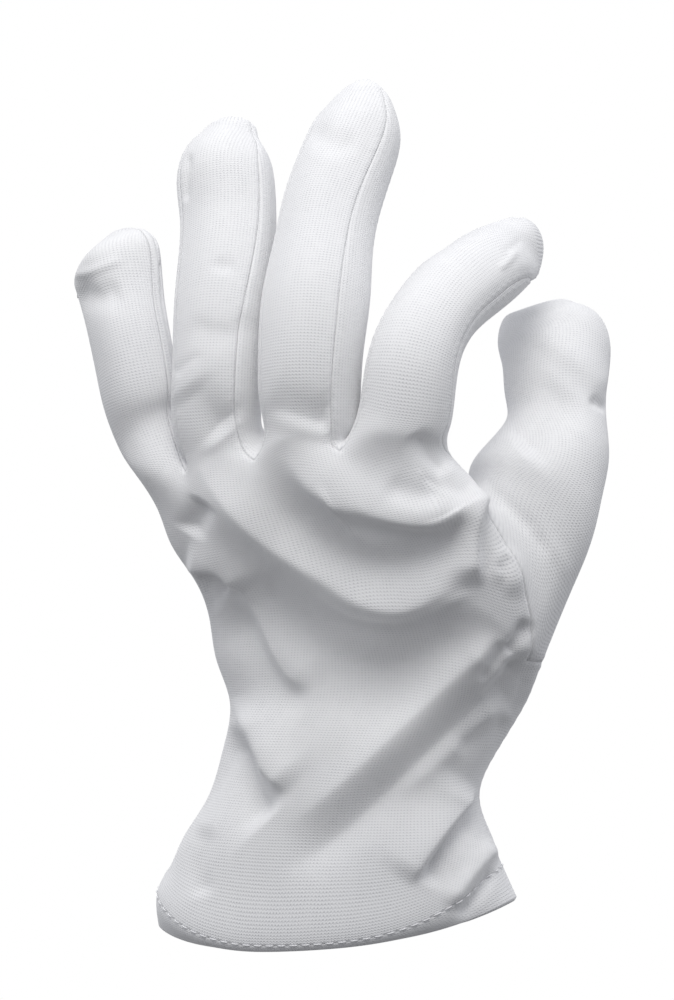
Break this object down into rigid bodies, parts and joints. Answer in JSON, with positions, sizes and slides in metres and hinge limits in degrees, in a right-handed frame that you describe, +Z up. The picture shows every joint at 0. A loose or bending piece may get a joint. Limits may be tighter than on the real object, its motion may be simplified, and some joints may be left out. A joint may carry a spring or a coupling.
{
  "type": "knit glove",
  "caption": "White knitted cotton dress glove for a left hand, worn shape, with a flared cuff and a turned hem round the wrist opening.",
  "frame": {"origin": "centre of the wrist opening, where the glove sits on the wrist", "axes": "+Z up the hand to the fingertips, +X to the thumb side, +Y from the back of the hand to the palm"},
  "size_m": [0.1402, 0.0716, 0.2262],
  "materials": {
    "knit_cloth": "fine single knit cotton, matt",
    "hem_cloth": "double knit cotton hem with running stitches, matt"
  },
  "bodies": {
    "root": {"back_panel": "knit_cloth", "palm_panel": "knit_cloth", "fourchette_index_middle": "knit_cloth", "fourchette_middle_ring": "knit_cloth", "fourchette_ring_little": "knit_cloth", "thumb": "knit_cloth", "cuff_hem": "hem_cloth"}
  },
  "joints": []
}
